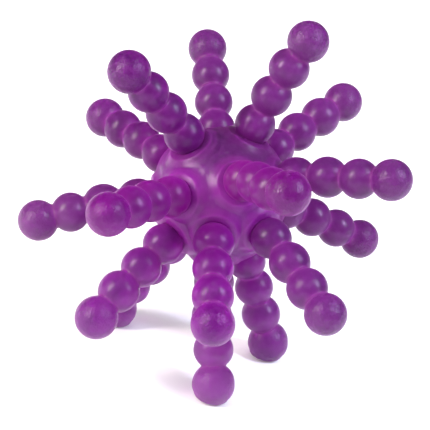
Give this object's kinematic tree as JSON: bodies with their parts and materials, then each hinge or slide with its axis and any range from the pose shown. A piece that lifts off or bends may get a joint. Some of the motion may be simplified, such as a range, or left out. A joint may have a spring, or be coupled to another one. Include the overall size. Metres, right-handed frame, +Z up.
{
  "type": "massage ball",
  "caption": "Soft rubber massage ball: a round hollow hub with beaded flexible fingers standing out all round it, which give when squeezed or rolled on the skin.",
  "frame": {"origin": "centre of the bounding box in X and Y, at the surface that the three resting finger tips stand on", "axes": "+Z up, away from the surface the ball rests on; +X to the right and +Y away from a person who looks at the ball from the front"},
  "size_m": [0.1406, 0.1418, 0.1431],
  "materials": {
    "hub_rubber": "satin translucent",
    "finger_rubber": "satin translucent",
    "root_rubber": "satin translucent"
  },
  "bodies": {
    "hub": {"hub_shell_front": "hub_rubber", "hub_shell_back": "hub_rubber", "finger_root_01": "root_rubber", "finger_root_02": "root_rubber", "finger_root_03": "root_rubber", "finger_root_04": "root_rubber", "finger_root_05": "root_rubber", "finger_root_06": "root_rubber", "finger_root_07": "root_rubber", "finger_root_08": "root_rubber", "finger_root_09": "root_rubber", "finger_root_10": "root_rubber", "finger_root_11": "root_rubber", "finger_root_12": "root_rubber", "finger_root_13": "root_rubber", "finger_root_14": "root_rubber", "finger_root_15": "root_rubber", "finger_root_16": "root_rubber", "finger_root_17": "root_rubber"},
    "finger_01": {"finger_01": "finger_rubber"},
    "finger_02": {"finger_02": "finger_rubber"},
    "finger_03": {"finger_03": "finger_rubber"},
    "finger_04": {"finger_04": "finger_rubber"},
    "finger_05": {"finger_05": "finger_rubber"},
    "finger_06": {"finger_06": "finger_rubber"},
    "finger_07": {"finger_07": "finger_rubber"},
    "finger_08": {"finger_08": "finger_rubber"},
    "finger_09": {"finger_09": "finger_rubber"},
    "finger_10": {"finger_10": "finger_rubber"},
    "finger_11": {"finger_11": "finger_rubber"},
    "finger_12": {"finger_12": "finger_rubber"},
    "finger_13": {"finger_13": "finger_rubber"},
    "finger_14": {"finger_14": "finger_rubber"},
    "finger_15": {"finger_15": "finger_rubber"},
    "finger_16": {"finger_16": "finger_rubber"},
    "finger_17": {"finger_17": "finger_rubber"}
  },
  "joints": [
    {"name": "finger_01_flex", "type": "hinge", "parent": "hub", "child": "finger_01", "pos_m": [-0.01556, -0.00502, 0.09322], "axis": [0.5412, 0.3972, 0.7412], "range_deg": [-30, 30], "stiffness_Nm_per_rad": 0.12},
    {"name": "finger_02_flex", "type": "hinge", "parent": "hub", "child": "finger_02", "pos_m": [-0.02355, 0.02015, 0.07316], "axis": [-0.0075, 0.0075, 0.9999], "range_deg": [-30, 30], "stiffness_Nm_per_rad": 0.12},
    {"name": "finger_03_flex", "type": "hinge", "parent": "hub", "child": "finger_03", "pos_m": [-0.00477, 0.02878, 0.08528], "axis": [0.1799, -0.5269, 0.8307], "range_deg": [-30, 30], "stiffness_Nm_per_rad": 0.12},
    {"name": "finger_04_flex", "type": "hinge", "parent": "hub", "child": "finger_04", "pos_m": [0.00969, 0.005, 0.09928], "axis": [-0.9497, 0.0008, 0.3133], "range_deg": [-30, 30], "stiffness_Nm_per_rad": 0.12},
    {"name": "finger_05_flex", "type": "hinge", "parent": "hub", "child": "finger_05", "pos_m": [0.01981, 0.0243, 0.08412], "axis": [-0.2688, -0.3094, 0.9122], "range_deg": [-30, 30], "stiffness_Nm_per_rad": 0.12},
    {"name": "finger_06_flex", "type": "hinge", "parent": "hub", "child": "finger_06", "pos_m": [0.02887, -0.00275, 0.08488], "axis": [-0.3106, 0.1203, 0.9429], "range_deg": [-30, 30], "stiffness_Nm_per_rad": 0.12},
    {"name": "finger_07_flex", "type": "hinge", "parent": "hub", "child": "finger_07", "pos_m": [0.0294, 0.01802, 0.06226], "axis": [0.2836, 0.1424, 0.9483], "range_deg": [-30, 30], "stiffness_Nm_per_rad": 0.12},
    {"name": "finger_08_flex", "type": "hinge", "parent": "hub", "child": "finger_08", "pos_m": [0.02449, -0.01927, 0.06545], "axis": [0.1972, -0.2257, 0.954], "range_deg": [-30, 30], "stiffness_Nm_per_rad": 0.12},
    {"name": "finger_09_flex", "type": "hinge", "parent": "hub", "child": "finger_09", "pos_m": [0.01823, 0.00701, 0.04172], "axis": [0.8776, 0.2108, 0.4306], "range_deg": [-30, 30], "stiffness_Nm_per_rad": 0.12},
    {"name": "finger_10_flex", "type": "hinge", "parent": "hub", "child": "finger_10", "pos_m": [0.00735, -0.013, 0.03987], "axis": [0.3297, -0.7879, 0.5201], "range_deg": [-30, 30], "stiffness_Nm_per_rad": 0.12},
    {"name": "finger_11_flex", "type": "hinge", "parent": "hub", "child": "finger_11", "pos_m": [0.00396, -0.02785, 0.06264], "axis": [0.0543, -0.3475, 0.9361], "range_deg": [-30, 30], "stiffness_Nm_per_rad": 0.12},
    {"name": "finger_12_flex", "type": "hinge", "parent": "hub", "child": "finger_12", "pos_m": [-0.01443, -0.01872, 0.05342], "axis": [-0.3119, -0.4661, 0.8279], "range_deg": [-30, 30], "stiffness_Nm_per_rad": 0.12},
    {"name": "finger_13_flex", "type": "hinge", "parent": "hub", "child": "finger_13", "pos_m": [-0.0127, 0.00687, 0.04138], "axis": [-0.8572, 0.2526, 0.4488], "range_deg": [-30, 30], "stiffness_Nm_per_rad": 0.12},
    {"name": "finger_14_flex", "type": "hinge", "parent": "hub", "child": "finger_14", "pos_m": [-0.02783, -0.00296, 0.06261], "axis": [-0.3225, -0.0894, 0.9423], "range_deg": [-30, 30], "stiffness_Nm_per_rad": 0.12},
    {"name": "finger_15_flex", "type": "hinge", "parent": "hub", "child": "finger_15", "pos_m": [-0.01521, -0.02233, 0.07473], "axis": [0.0449, 0.0802, 0.9958], "range_deg": [-30, 30], "stiffness_Nm_per_rad": 0.12},
    {"name": "finger_16_flex", "type": "hinge", "parent": "hub", "child": "finger_16", "pos_m": [0.00993, -0.02159, 0.08687], "axis": [-0.1378, 0.3111, 0.9403], "range_deg": [-30, 30], "stiffness_Nm_per_rad": 0.12},
    {"name": "finger_17_flex", "type": "hinge", "parent": "hub", "child": "finger_17", "pos_m": [0.00731, 0.03014, 0.05346], "axis": [0.0848, 0.4764, 0.8751], "range_deg": [-30, 30], "stiffness_Nm_per_rad": 0.12}
  ]
}
